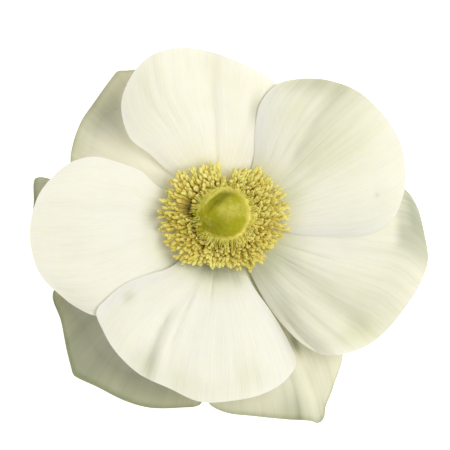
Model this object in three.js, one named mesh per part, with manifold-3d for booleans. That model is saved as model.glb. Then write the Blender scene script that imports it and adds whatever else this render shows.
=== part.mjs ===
// A white garden anemone in full bloom, picked just under its head and lying face up.
//
// Millimetres, +Z up. Seen from above, +Y is the top of the bloom and +X its right.
// Eleven petal-like tepals stand in two whorls round a green receptacle: five broad inner
// ones that arch outwards, and six outer ones below them that droop until some of them
// touch the surface. The receptacle also carries a mound of stamens and, in its middle,
// the round pistil head. All lengths below are measured from the bloom's upright axis.
// At the end the bloom is moved so that the origin is under the middle of its footprint.
import * as THREE from "three";
import { mergeVertices } from "three/addons/utils/BufferGeometryUtils.js";
import Module from "manifold-3d";

const wasm = await Module();
wasm.setup();

// Driving dimensions
const TEPAL_THICKNESS = 0.65;
const SEAT_GAP = 0.3; // between a piece and what carries it
const RECEPTACLE_RADIUS = 7;
const RECEPTACLE_TOP = 9.4;
const STEM_RADIUS = 1.7;
const STEM_END = 0.5; // the cut end stays just clear of the surface
const CLAW_RADIUS = RECEPTACLE_RADIUS + 0.4; // where a tepal's foot begins
const SIDES_SET_BY = 13; // radius from which a tepal's sides have their full lift
const RUFFLE_WAVES = 2.5; // across a tepal's tip
const PISTIL = { x: 0.4, y: 0.5, radius: 5.2, height: 5.6, relief: 0.3 };
const PISTIL_CREASE = { direction: 116, distance: 2.9, width: 0.6, depth: 0.75 };
const STAMEN_RING = { x: 0.2, y: 0.1, reachX: 13.7, reachY: 11.6, inner: 6.7, count: 176 };
const COLLAR = { inner: 6.35, outer: 7.3, height: 0.9 };
const ANTHER = { length: 1.5, radius: 0.36 };
const FILAMENT_RADIUS = 0.2;

const TEPAL_WHITE = new THREE.MeshStandardMaterial({ color: "#f4f1e2", roughness: 0.6 });
const TEPAL_SHADED = new THREE.MeshStandardMaterial({ color: "#dcdcc6", roughness: 0.65 });
const STAMEN_GOLD = new THREE.MeshStandardMaterial({ color: "#d3b84a", roughness: 0.7 });
const PISTIL_GREEN = new THREE.MeshStandardMaterial({ color: "#9ea42c", roughness: 0.65 });
const STEM_GREEN = new THREE.MeshStandardMaterial({ color: "#8f9c58", roughness: 0.6 });

// Every tepal is one row. "claw" gives the directions of its foot's two corners, in
// degrees. "margin" runs round its edge from the clockwise side to the other, as [x, y],
// and "shoulders" are the places in that list where the sides turn into the tip. The
// height is base + rise * d - droop * d * d, with d the distance from the foot, and
// "sides" lifts or lowers the two side edges, and "ruffle" waves the tip. A fold is a
// long crease that fans out with the veins: its place across at the foot and at the tip,
// its width as a share of the tepal's, and its height. A swell is a local bulge: its
// place across and along, its spread across and along, and its height.
const INNER_TEPALS = [
  {
    name: "tepal_inner_top",
    claw: [72, 128],
    margin: [
      [6.4, 10.2], [10.6, 16.2], [12.4, 22.2], [10, 26.8], [4.2, 30.4], [-2.8, 32.9],
      [-9.2, 33.4], [-14.8, 31.8], [-18.6, 27.8], [-20.5, 22.2], [-18.8, 15.6],
      [-14.8, 12.4], [-10.8, 8.8],
    ],
    shoulders: [2, 9],
    base: 8.3, rise: 0.25, droop: 0.004, ruffle: 0.3, sides: [-1.7, -1.2],
    folds: [[0.5, 0.47, 0.05, -0.35], [0.6, 0.72, 0.09, 0.25]],
    swells: [],
  },
  {
    name: "tepal_inner_right",
    claw: [-2, 52],
    margin: [
      [12.8, -3.2], [18.2, -3.9], [24.2, -4.2], [29.6, -3.4], [33.4, -0.8], [35.6, 4.2],
      [36.1, 9.2], [34.8, 15.2], [31.8, 20.4], [26.8, 24.6], [20.8, 26.8], [15.2, 27.2],
      [10.6, 25.8], [7.2, 22.4], [6.2, 17.2], [6, 11.6],
    ],
    shoulders: [4, 12],
    base: 9, rise: 0.245, droop: 0.004, ruffle: 0.3, sides: [0, 0.2],
    folds: [[0.6, 0.66, 0.11, -1.1], [0.35, 0.4, 0.14, 0.5]],
    swells: [[0.8, 1, 0.2, 0.16, -1.3]],
  },
  {
    name: "tepal_inner_lower_right",
    claw: [-62, -14],
    margin: [
      [5.6, -12], [9.2, -18.4], [12.6, -22.6], [15.4, -25.2], [18, -26.8], [20.6, -27.5],
      [23.6, -26.9], [27.6, -25.6], [31.6, -23.2], [35.2, -19], [38.4, -14.2],
      [40.3, -9.2], [40, -3.8], [38, 2.4], [35.2, 5.6], [28.2, 4.8], [19.2, 2.2],
      [12.2, 0],
    ],
    shoulders: [4, 13],
    base: 8.1, rise: 0.25, droop: 0.004, ruffle: 0.3, sides: [-1.2, -1.8],
    folds: [[0.3, 0.12, 0.07, 0.8], [0.42, 0.32, 0.08, -0.9], [0.8, 0.72, 0.1, 0.5]],
    swells: [[0.98, 1.02, 0.22, 0.22, -4.2]],
  },
  {
    name: "tepal_inner_bottom",
    claw: [230, 284],
    margin: [
      [-10.8, -10.3], [-15.2, -11.7], [-20, -13.7], [-23.8, -16.8], [-25.6, -19.2],
      [-24.2, -23], [-22, -26.8], [-17.2, -31.5], [-10.8, -34.6], [-4.8, -37],
      [1.6, -36.8], [7.6, -35.7], [12, -33.2], [14.4, -29.6], [13.2, -25.8],
      [9.6, -19.4], [6.6, -14.8], [4.6, -11.2],
    ],
    shoulders: [4, 13],
    base: 8.8, rise: 0.24, droop: 0.0038, ruffle: 0.3, sides: [0.2, -0.3],
    folds: [[0.35, 0.24, 0.06, -0.9], [0.5, 0.42, 0.06, -0.4], [0.75, 0.8, 0.14, 0.4]],
    swells: [],
  },
  {
    name: "tepal_inner_left",
    claw: [156, 220],
    margin: [
      [-13.4, 6], [-16.4, 8.8], [-20.8, 10.6], [-26.2, 11.8], [-30.8, 10.4],
      [-34.8, 7.6], [-37.4, 3.6], [-38.4, -2.4], [-38.2, -7.4], [-36.2, -11.8],
      [-33.4, -15.6], [-29.8, -18.6], [-25.2, -20.8], [-19.2, -18.4], [-13.8, -14],
      [-9.2, -9.8],
    ],
    shoulders: [4, 11],
    base: 8.3, rise: 0.25, droop: 0.004, ruffle: 0.3, sides: [-0.8, -1.7],
    folds: [[0.55, 0.6, 0.12, -0.35]],
    swells: [],
  },
];

const OUTER_TEPALS = [
  {
    name: "tepal_outer_upper_left",
    claw: [126, 158],
    margin: [
      [-11.2, 13.2], [-13.8, 22.2], [-16.2, 29.2], [-20.6, 29.1], [-21.6, 28.3],
      [-25.6, 22.6], [-28.8, 18.2], [-30.6, 11.2], [-29.6, 8], [-20.8, 5.6],
      [-11.8, 3.2],
    ],
    shoulders: [2, 8],
    base: 6.4, rise: 0.12, droop: 0.0165, ruffle: 0, sides: [-0.6, -0.3],
    folds: [[0.5, 0.5, 0.12, 0.6]],
    swells: [],
  },
  {
    name: "tepal_outer_left",
    claw: [166, 196],
    margin: [
      [-12.8, 2], [-22.8, 4], [-31.6, 6.4], [-37.8, 7.6], [-38.2, 3.2], [-38.2, -1.2],
      [-36.4, -6.4], [-28.8, -8], [-18.8, -6], [-10.4, -3.6],
    ],
    shoulders: [3, 6],
    base: 6.4, rise: 0.12, droop: 0.009, ruffle: 0, sides: [-0.4, -0.6],
    folds: [[0.5, 0.45, 0.14, 0.4]],
    swells: [],
  },
  {
    name: "tepal_outer_lower_left",
    claw: [208, 254],
    margin: [
      [-10.4, -6], [-20.8, -9.2], [-29.8, -11.6], [-34, -15], [-32.2, -20.8],
      [-31.2, -26.4], [-30.3, -30.6], [-29.2, -32.2], [-25.4, -34.2], [-19.8, -37],
      [-14.8, -38.2], [-8.8, -38.2], [-4.8, -37.6], [-4, -35.2], [-3.4, -25.8],
      [-3, -14.8],
    ],
    shoulders: [3, 12],
    base: 6.4, rise: 0.12, droop: 0.0113, ruffle: 0, sides: [-0.7, -0.9],
    folds: [[0.5, 0.5, 0.2, 0.4]],
    swells: [],
  },
  {
    name: "tepal_outer_bottom",
    claw: [268, 314],
    margin: [
      [-2, -14.8], [-2.2, -25.8], [-3, -35.8], [-3, -37.2], [0.2, -39], [6.2, -39.8],
      [13.2, -40.5], [18.4, -41], [19.8, -38.4], [21.4, -34], [23.6, -27.2],
      [22.2, -21.8], [15.2, -13.8],
    ],
    shoulders: [3, 10],
    base: 6.4, rise: 0.12, droop: 0.0068, ruffle: 0, sides: [-0.5, -0.3],
    folds: [[0.55, 0.6, 0.07, -0.9], [0.4, 0.4, 0.1, 0.4]],
    swells: [],
  },
  {
    name: "tepal_outer_right",
    claw: [328, 374],
    margin: [
      [12.2, -7.8], [22.2, -13.8], [31.2, -15.8], [36, -10.4], [37, -3.8], [35.2, 1.6],
      [30.8, 5.6], [22.2, 6], [12.2, 3.6],
    ],
    shoulders: [2, 6],
    base: 6.4, rise: 0.1, droop: 0.0144, ruffle: 0, sides: [-0.3, -0.5],
    folds: [[0.5, 0.5, 0.12, 0.5]],
    swells: [],
  },
  {
    name: "tepal_outer_upper_right",
    claw: [32, 78],
    margin: [
      [11.6, 7.6], [21.2, 12.2], [28.4, 15.6], [28.4, 20.8], [22.8, 24], [15.2, 24.8],
      [8.4, 24.8], [4.4, 19.2], [2.8, 11.2],
    ],
    shoulders: [2, 6],
    base: 6.4, rise: 0.1, droop: 0.0134, ruffle: 0, sides: [-0.4, -0.6],
    folds: [[0.5, 0.5, 0.2, 0.4]],
    swells: [],
  },
];

const polar = (radius, degrees) => {
  const angle = THREE.MathUtils.degToRad(degrees);
  return new THREE.Vector3(radius * Math.cos(angle), radius * Math.sin(angle), 0);
};

// Points spaced evenly along a polyline.
function evenly(points, count) {
  const reach = [0];
  for (let i = 1; i < points.length; i++)
    reach.push(reach[i - 1] + points[i].distanceTo(points[i - 1]));
  const total = reach[reach.length - 1];
  const found = [];
  for (let k = 0, i = 1; k <= count; k++) {
    const wanted = (total * k) / count;
    while (i < points.length - 1 && reach[i] < wanted) i++;
    const share = (wanted - reach[i - 1]) / (reach[i] - reach[i - 1]);
    found.push(points[i - 1].clone().lerp(points[i], share));
  }
  return found;
}

// The tepal's plan as a grid of points, columns across and rows from foot to tip. The
// four edges are the foot's arc, the two sides and the tip, blended as a Coons patch.
function planOf(tepal, across, along) {
  const [clawRight, clawLeft] = tepal.claw;
  const outline = [
    polar(CLAW_RADIUS, clawRight),
    ...tepal.margin.map(([x, y]) => new THREE.Vector3(x, y, 0)),
    polar(CLAW_RADIUS, clawLeft),
  ];
  const curve = new THREE.CatmullRomCurve3(outline, false, "centripetal");
  const stepsPerPoint = 12;
  const fine = curve.getPoints(stepsPerPoint * (outline.length - 1));
  const [right, left] = tepal.shoulders.map((i) => (i + 1) * stepsPerPoint);
  const sideRight = evenly(fine.slice(0, right + 1), along);
  const tip = evenly(fine.slice(right, left + 1), across);
  const sideLeft = evenly(fine.slice(left).reverse(), along);
  const foot = [];
  for (let i = 0; i <= across; i++)
    foot.push(polar(CLAW_RADIUS, clawRight + ((clawLeft - clawRight) * i) / across));
  const grid = [];
  for (let j = 0; j <= along; j++) {
    const v = j / along;
    for (let i = 0; i <= across; i++) {
      const u = i / across;
      const straight = foot[i].clone().lerp(tip[i], v);
      const sideways = sideRight[j].clone().lerp(sideLeft[j], u);
      const footLine = foot[0].clone().lerp(foot[across], u);
      const tipLine = tip[0].clone().lerp(tip[across], u);
      grid.push(straight.add(sideways).sub(footLine.lerp(tipLine, v)));
    }
  }
  return grid;
}

const bell = (x) => Math.exp(-x * x);

// The height of the tepal's middle layer at a point of its plan.
function heightOf(tepal, point, u, v) {
  const radius = Math.hypot(point.x, point.y);
  const d = radius - CLAW_RADIUS;
  const set = THREE.MathUtils.smoothstep(radius, CLAW_RADIUS, SIDES_SET_BY);
  const side = 2 * u - 1;
  let z = tepal.base + tepal.rise * d - tepal.droop * d * d;
  z += set * tepal.sides[side < 0 ? 0 : 1] * Math.abs(side) ** 1.6;
  z += tepal.ruffle * v ** 3 * Math.sin(2 * Math.PI * RUFFLE_WAVES * u + tepal.claw[0]);
  for (const [atFoot, atTip, width, height] of tepal.folds)
    z += height * v * bell((u - THREE.MathUtils.lerp(atFoot, atTip, v)) / width);
  for (const [acrossAt, alongAt, acrossBy, alongBy, height] of tepal.swells)
    z += height * bell((u - acrossAt) / acrossBy) * bell((v - alongAt) / alongBy);
  return z;
}

// A closed blade: the middle layer moved half its thickness each way along its normals,
// with a rim. Where it would sink into the surface it lies flat on it instead.
function tepalGeometry(tepal, across, along) {
  const columns = across + 1;
  const middle = planOf(tepal, across, along);
  middle.forEach((point, n) => {
    const u = (n % columns) / across;
    const v = Math.floor(n / columns) / along;
    point.z = heightOf(tepal, point, u, v);
  });
  const faces = [];
  for (let j = 0; j < along; j++)
    for (let i = 0; i < across; i++) {
      const a = j * columns + i;
      const [b, c, d] = [a + 1, a + columns, a + columns + 1];
      if (i < across / 2) faces.push([a, c, b], [b, c, d]);
      else faces.push([a, d, b], [a, c, d]);
    }
  const sheet = new THREE.BufferGeometry().setFromPoints(middle);
  sheet.setIndex(faces.flat());
  sheet.computeVertexNormals();
  const normals = sheet.getAttribute("normal");
  const half = TEPAL_THICKNESS / 2;
  const layer = (way, lowest) =>
    middle.map((point, n) => {
      const normal = new THREE.Vector3().fromBufferAttribute(normals, n);
      const moved = point.clone().addScaledVector(normal, way * half);
      moved.z = Math.max(moved.z, lowest);
      return moved;
    });
  const points = [...layer(1, TEPAL_THICKNESS), ...layer(-1, 0)];
  const under = middle.length;
  const triangles = [...faces];
  for (const [a, b, c] of faces) triangles.push([a + under, c + under, b + under]);
  const rim = [];
  for (let i = 0; i < across; i++) rim.push(i);
  for (let j = 0; j < along; j++) rim.push(j * columns + across);
  for (let i = across; i > 0; i--) rim.push(along * columns + i);
  for (let j = along; j > 0; j--) rim.push(j * columns);
  rim.forEach((a, n) => {
    const b = rim[(n + 1) % rim.length];
    triangles.push([a, b, a + under], [b, b + under, a + under]);
  });
  const blade = new THREE.BufferGeometry().setFromPoints(points);
  blade.setIndex(triangles.flat());
  return blade;
}

function solidOf(geometry) {
  const bare = new THREE.BufferGeometry();
  bare.setAttribute("position", geometry.getAttribute("position"));
  if (geometry.index) bare.setIndex(geometry.index);
  const merged = mergeVertices(bare, 1e-4);
  return new wasm.Manifold(
    new wasm.Mesh({
      numProp: 3,
      vertProperties: new Float32Array(merged.getAttribute("position").array),
      triVerts: new Uint32Array(merged.index.array),
    }),
  );
}

function geometryOf(solid) {
  const { vertProperties, triVerts } = solid.getMesh();
  const geometry = new THREE.BufferGeometry();
  geometry.setAttribute("position", new THREE.BufferAttribute(vertProperties, 3));
  geometry.setIndex(new THREE.BufferAttribute(triVerts, 1));
  return geometry;
}

function named(name, geometry, material) {
  geometry.computeVertexNormals();
  const mesh = new THREE.Mesh(geometry, material);
  mesh.name = name;
  return mesh;
}

// A lathe about the upright axis, from [radius, height] pairs listed upwards outside.
function turned(profile, segments) {
  const geometry = new THREE.LatheGeometry(
    profile.map(([radius, height]) => new THREE.Vector2(radius, height)),
    segments,
  );
  return geometry.rotateX(Math.PI / 2);
}

function stemGeometry() {
  const neck = STEM_END + 3.4;
  return turned(
    [
      [0, STEM_END],
      [STEM_RADIUS * 0.94, STEM_END],
      [STEM_RADIUS, STEM_END + 0.3],
      [STEM_RADIUS * 1.03, neck - 0.8],
      [STEM_RADIUS * 1.5, neck],
      [RECEPTACLE_RADIUS * 0.7, neck + 1],
      [RECEPTACLE_RADIUS * 0.94, neck + 1.5],
      [RECEPTACLE_RADIUS, neck + 2],
      [RECEPTACLE_RADIUS, RECEPTACLE_TOP - 0.2],
      [RECEPTACLE_RADIUS - 0.3, RECEPTACLE_TOP],
      [0, RECEPTACLE_TOP],
    ],
    28,
  );
}

// The pistil head is a dome of many small carpels. Their blunt tips stand out of it as
// alternate points of a staggered grid. A straight crease parts its main swell from the
// lip behind it.
function pistilGeometry() {
  const [rows, around] = [13, 36];
  const seat = RECEPTACLE_TOP + SEAT_GAP;
  const points = [];
  const triangles = [];
  const across = polar(1, PISTIL_CREASE.direction);
  const creaseAt = (x, y) => {
    const distance = x * across.x + y * across.y - PISTIL_CREASE.distance;
    return PISTIL_CREASE.depth * bell(distance / PISTIL_CREASE.width);
  };
  for (let j = 0; j < rows; j++) {
    const angle = ((j / rows) * Math.PI) / 2;
    for (let i = 0; i < around; i++) {
      const raised = j > 0 && (i + j) % 2 === 0;
      const out = raised ? PISTIL.relief : 0;
      const turn = (2 * Math.PI * i) / around;
      const radius = PISTIL.radius * Math.cos(angle) ** 0.8 + out * Math.cos(angle);
      const [x, y] = [radius * Math.cos(turn), radius * Math.sin(turn)];
      const sunk = creaseAt(x, y) * Math.sin(angle);
      const height = (PISTIL.height + out) * Math.sin(angle) - sunk;
      points.push(new THREE.Vector3(PISTIL.x + x, PISTIL.y + y, seat + height));
    }
  }
  const top = points.push(new THREE.Vector3(PISTIL.x, PISTIL.y, seat + PISTIL.height)) - 1;
  const bottom = points.push(new THREE.Vector3(PISTIL.x, PISTIL.y, seat)) - 1;
  for (let i = 0; i < around; i++) {
    const next = (i + 1) % around;
    triangles.push([bottom, next, i]);
    for (let j = 0; j < rows - 1; j++) {
      const [a, b] = [j * around + i, j * around + next];
      const [c, d] = [a + around, b + around];
      if ((i + j) % 2 === 0) triangles.push([a, b, d], [a, d, c]);
      else triangles.push([a, b, c], [b, d, c]);
    }
    triangles.push([(rows - 1) * around + i, (rows - 1) * around + next, top]);
  }
  const dome = new THREE.BufferGeometry().setFromPoints(points);
  dome.setIndex(triangles.flat());
  return dome;
}

// A tapered rod with a few sides through a line of [point, radius] stations, closed by
// a flat foot and a pointed tip.
function rodGeometry(stations, sides) {
  const points = [];
  const triangles = [];
  const last = stations.length - 1;
  stations.slice(0, last).forEach(([centre, radius], n) => {
    const ahead = stations[n + 1][0];
    const behind = stations[Math.max(n - 1, 0)][0];
    const along = ahead.clone().sub(behind).normalize();
    const east = new THREE.Vector3(-centre.y, centre.x, 0).normalize();
    const north = along.clone().cross(east).normalize();
    for (let k = 0; k < sides; k++) {
      const turn = (2 * Math.PI * k) / sides;
      points.push(
        centre
          .clone()
          .addScaledVector(east, radius * Math.cos(turn))
          .addScaledVector(north, radius * Math.sin(turn)),
      );
    }
  });
  const tip = points.push(stations[last][0]) - 1;
  for (let k = 0; k < sides; k++) {
    const next = (k + 1) % sides;
    for (let n = 0; n < last - 1; n++) {
      const [a, b] = [n * sides + k, n * sides + next];
      triangles.push([a, b, b + sides], [a, b + sides, a + sides]);
    }
    triangles.push([(last - 1) * sides + k, (last - 1) * sides + next, tip]);
    if (k > 0 && k < sides - 1) triangles.push([0, k + 1, k]);
  }
  const rod = new THREE.BufferGeometry().setFromPoints(points);
  rod.setIndex(triangles.flat());
  return rod;
}

// A small seeded generator, so that the bloom is the same every time.
function seeded(seed) {
  let state = seed;
  return () => {
    state = (state * 1664525 + 1013904223) % 4294967296;
    return state / 4294967296;
  };
}

// One stamen about the upright axis: a thin filament with a longer anther on its tip.
// "out" is 0 for the innermost and 1 for the outermost.
function stamenGeometry(direction, out, height, spin) {
  const reach = polar(1, direction);
  const sideways = polar(1, direction + 90);
  const full = Math.hypot(STAMEN_RING.reachX * reach.x, STAMEN_RING.reachY * reach.y);
  const lean = THREE.MathUtils.lerp(0.35, 1.25, out);
  const tilt = (ANTHER.length / 2) * Math.sin(lean);
  const radius = THREE.MathUtils.lerp(STAMEN_RING.inner, full - tilt, out);
  const root = polar(THREE.MathUtils.lerp(COLLAR.inner + 0.3, COLLAR.outer - 0.3, out), direction);
  root.z = RECEPTACLE_TOP + SEAT_GAP + COLLAR.height / 2;
  const middle = polar(radius, direction);
  middle.z = height;
  const along = reach.clone().multiplyScalar(Math.sin(lean));
  along.addScaledVector(sideways, spin);
  along.z = Math.cos(lean);
  along.normalize();
  const at = (share) => middle.clone().addScaledVector(along, share * ANTHER.length);
  const neck = at(-0.5);
  const bend = root.clone().lerp(neck, 0.55);
  bend.z += 0.35;
  const stations = [
    [root, FILAMENT_RADIUS],
    [bend, FILAMENT_RADIUS],
    [neck, FILAMENT_RADIUS],
    [at(-0.25), ANTHER.radius],
    [at(0.3), ANTHER.radius],
    [at(0.5), 0],
  ];
  return rodGeometry(stations, 3);
}

// The stamens stand on a collar round the pistil and lean outwards, the outer ones most.
// They follow the golden angle, which spreads them evenly without rows, and leave a
// narrow parting at the top.
function stamensGeometry() {
  const goldenAngle = 137.508;
  const seat = RECEPTACLE_TOP + SEAT_GAP;
  const collar = turned(
    [
      [COLLAR.inner, seat],
      [COLLAR.outer, seat],
      [COLLAR.outer - 0.3, seat + COLLAR.height],
      [COLLAR.inner, seat + COLLAR.height],
      [COLLAR.inner, seat],
    ],
    28,
  );
  const random = seeded(7);
  const solids = [solidOf(collar)];
  const parting = { direction: 85, width: 7, from: 0.3 };
  for (let n = 0; n < STAMEN_RING.count; n++) {
    const share = (n + 0.5) / STAMEN_RING.count;
    const direction = (n * goldenAngle + 6 * (random() - 0.5)) % 360;
    const out = Math.sqrt(share) * (0.93 + 0.07 * random());
    const height = THREE.MathUtils.lerp(14, 12.4, out * out) + 0.8 * (random() - 0.5);
    const spin = 0.5 * (random() - 0.5);
    const aside = Math.abs(direction - parting.direction);
    if (aside < parting.width && out > parting.from) continue;
    solids.push(solidOf(stamenGeometry(direction, out, height, spin)));
  }
  const ring = wasm.Manifold.union(solids);
  return geometryOf(ring.translate([STAMEN_RING.x, STAMEN_RING.y, 0]));
}

const bloom = new THREE.Group();
for (const tepal of INNER_TEPALS)
  bloom.add(named(tepal.name, tepalGeometry(tepal, 12, 12), TEPAL_WHITE));
for (const tepal of OUTER_TEPALS)
  bloom.add(named(tepal.name, tepalGeometry(tepal, 9, 10), TEPAL_SHADED));
bloom.add(named("stem", stemGeometry(), STEM_GREEN));
bloom.add(named("pistil", pistilGeometry(), PISTIL_GREEN));
bloom.add(named("stamens", stamensGeometry(), STAMEN_GOLD));

// The origin goes under the middle of the footprint, on the surface.
const footprint = new THREE.Box3().setFromObject(bloom).getCenter(new THREE.Vector3());
bloom.position.set(-footprint.x, -footprint.y, 0);

export default bloom;
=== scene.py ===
"""A white garden anemone lying face up, dressed over the CAD frame.

The tepals, stamens, pistil head and stem of the frame are each replaced by a finer
piece of the same form. Lengths in the tables are millimetres from the bloom's upright
axis, as in the part's own source, and become metres where a mesh is made.
"""
import math
import random

import bpy
import numpy as np
from bpy.props import FloatProperty, FloatVectorProperty, IntProperty, PointerProperty
from mathutils import Matrix, Vector


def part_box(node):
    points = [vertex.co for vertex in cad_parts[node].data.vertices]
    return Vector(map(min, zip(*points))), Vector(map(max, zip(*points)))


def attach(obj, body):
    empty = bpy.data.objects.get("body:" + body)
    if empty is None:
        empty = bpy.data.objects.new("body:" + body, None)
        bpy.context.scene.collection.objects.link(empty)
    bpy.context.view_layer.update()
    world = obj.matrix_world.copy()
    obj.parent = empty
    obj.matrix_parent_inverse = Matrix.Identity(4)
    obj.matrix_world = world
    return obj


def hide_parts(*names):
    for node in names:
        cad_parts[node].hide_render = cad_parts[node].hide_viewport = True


bl_info = {
    "name": "White anemone",
    "version": (1, 0, 0),
    "blender": (4, 5, 0),
    "location": "View3D > Sidebar > Anemone",
    "description": "Builds a white anemone bloom over its CAD frame",
    "category": "Add Mesh",
}

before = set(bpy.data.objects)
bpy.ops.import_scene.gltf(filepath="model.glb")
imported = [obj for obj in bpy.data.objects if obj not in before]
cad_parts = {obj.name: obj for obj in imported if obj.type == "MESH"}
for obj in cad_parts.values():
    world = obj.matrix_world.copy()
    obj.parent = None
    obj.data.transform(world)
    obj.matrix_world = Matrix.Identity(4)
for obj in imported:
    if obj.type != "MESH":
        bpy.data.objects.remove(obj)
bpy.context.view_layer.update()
MM = 0.001

STEM_LOW, STEM_HIGH = (Vector(corner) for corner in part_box("stem"))
AXIS = (STEM_LOW + STEM_HIGH) / 2

# The stem and the receptacle
STEM_END = 0.5
STEM_RADIUS = 1.7
CUT_RADIUS = STEM_RADIUS * 0.94
STEM_LENGTH = 3.4
STEM_RIBS = {"count": 12, "depth": 0.02}
RECEPTACLE_RADIUS = 7
RECEPTACLE_TOP = 9.4
SEAT = RECEPTACLE_TOP + 0.3

# Every tepal. Widths across it and fades along it are shares of the tepal.
CLAW_RADIUS = 7.4
FOOT_RADIUS = 6.9
STRETCH_BETWEEN = (15, 32)
SIDES_SET_BY = 13
SIDE_BEND = 1.6
PRESSED_WIDTH = 0.1
RUFFLE_WAVES = 2.5
THIN_MARGIN = 0.125
CREASE_FADE = 0.18
CREASE_SHADE = 0.38
EDGE_LINE = {"across": 0.012, "along": 0.018}

# The pistil head. Directions, here and below, are degrees from +X towards +Y.
PISTIL_HEIGHT = 5.6
HEAD_CENTRE = (0.2, 0.45)
HEAD_RADIUS = (6, 6.1)
HEAD_BLUNTNESS = 0.5
GREEN_PART = {"centre": (-0.12, -0.08), "reach": (5, 4.8)}
CREASE = {
    "direction": 130, "distance": 3.2, "bend": 16, "width": 0.85, "depth": 1.8,
    "middle": 0.7, "half_length": 4.3,
}
CARPELS = {"count": 190, "reach": 0.13}
STYLES = {"count": 560, "foot": 0.2, "tip": 0.09, "inner": 0.86, "band": 0.12}
LONGER_STYLES = {"direction": 262, "spread": 65, "more": 0.4}
FEWER_STYLES = {"from": 20, "to": 160, "left_out": 0.7}
STYLE_DRAWS = {"length": (0.9, 2), "lean": (0.2, 0.7), "turn": (-30, 30), "tone": (0.5, 1.3)}
STYLE_SEED = 5

# Painted highlights and painted shade on the head, each spot with its centre, its reach
# and its strength
HEAD_PAINTED_HIGHLIGHTS = (((1.5, 0.8), (1.9, 2), 0.32), ((0, -0.5), (1, 1), 0.2))
HEAD_SHADE = ((-2.1, -2.5), (3, 2.2), 0.55)

# The head's pale rim: where it sets in, as shares of the green part, and how far outside
# the crease; the groove along it; and where painted shade dulls it, or below 0 painted
# light brightens it, as directions with a spread and a strength.
RIM_FROM = (0.82, 1.12)
LIP_FROM = (0.55, 1.15)
RIM_GROOVE = {"at": 1.02, "width": 0.12, "depth": 0.35}
RIM_PAINTED_SHADE = (
    (195, 40, 0.62), (262, 30, 0.35), (95, 35, 0.35), (350, 35, -0.14), (42, 16, 0.32),
    (150, 16, 0.28),
)

# The ring of stamens. Each swell has a direction and how far it moves the ring's edge out.
RING_CENTRE = (0.2, 0.1)
RING_REACH = (13.5, 11.6)
RING_INNER = 6.1
RING_SWELLS = (
    (137, 0.4), (118, -0.4), (27, -0.7), (329, -0.6), (299, 0.9), (252, -0.4), (219, 1.2),
    (314, -0.8), (182, 0.2), (77, -1.8), (277, -0.5),
)
SWELL_SPREAD = 15
ANTHER = {"width": 0.46, "thin": 0.24, "lobes": 0.16}
ANTHER_HEIGHT = {"inner": 13.6, "fall": 1.4, "dip": 0.3, "dip_reach": 0.15}
ANTHER_LEAN = {"inner": 0.35, "more": 0.9}
LEAN_TO_TOP = 0.2
# An anther's tone: paler further out, with painted light on the side the light falls from and
# beside the head, and paler on the pale sides. LIGHT_FROM is the painted light's direction.
ANTHER_TONE = {"out": 0.25, "light": 0.35, "pale_side": 0.5, "inmost": 0.42}
INMOST_REACH = 0.25
PALE_SIDES = ((255, 24), (112, 25))
LIGHT_FROM = 55
COLLAR = {"inner": 6.35, "outer": 7.3, "inset": 0.3, "height": 0.9, "felt": 2.2}
PARTING = {"direction": 87, "inner": 2.5, "more": 5}
HOLLOW = {"direction": 168, "half_width": 12, "until": 0.5}
TUFTS = {"count": 34, "pull": 0.2}
STAMEN_DRAWS = {
    "tuft": (0.93, 1.05), "turn": (-4, 4), "out": (-0.05, 0.05), "height": (-1, 0.7),
    "spin": (-0.6, 0.6), "length": (0.85, 1.12), "twist": (-0.9, 0.9), "tone": (0.05, 0.6),
}
STAMEN_SEED = 11
GOLDEN_ANGLE = 137.508

# The stage, in metres
KEY_LIGHT = {"place": (0.33, 0.07, 0.66), "size": 0.42, "power": 2.76}
SKY_STRENGTH = 0.57
FLOOR_GLOW = 0.6
CAMERA = {"distance": 1.5, "across": 0.09, "level": 0.01, "centre": (0.0002, -0.0018)}

# One row a tepal. The outlines follow those of the part's source to about 1 mm, but the
# outer tepals at the upper left, the lower left and the bottom have a sharper corner. In
# each pair the tepal's right side comes first.
# "claw": the directions of its foot's two ends.
# "margin": its outline from the right side round the tip; "shoulders": the two points of
# it that bound the tip, counted from 0.
# "height": its height at the claw, its slope and its droop.
# "sides": how far each side rises, or falls where it is below 0. "press": how far down
# each margin is pressed.
# "stretch": by what share its outer part grows. "ruffle": the height of its tip's waves.
# "folds": each with its place across at the foot and at the tip, its width and its height.
# "creases": narrow folds, each also with where along the tepal it begins and ends.
# "swells": each with its place across and along, its spread across and along, its height.
# "olive" and "green": the colour's strength all over, and then soft washes, each with its
# place and its spread as a swell's, and its strength. The olive is partly the tepal's own
# grey-green and partly painted shade.
# "patches": corners painted olive as shade where the tepal bends away, each with the shares
# across and along between which its two edges fade in, and its strength. "edge": the
# strength of the dark line on the margin.
USUAL = {"press": (0.3, 0.3), "stretch": 0.01, "swells": (), "patches": ()}
USUAL_INNER = {**USUAL, "ruffle": 0.3, "edge": 0}
USUAL_OUTER = {**USUAL, "ruffle": 0, "edge": 0.35, "green": [0.2]}

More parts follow.
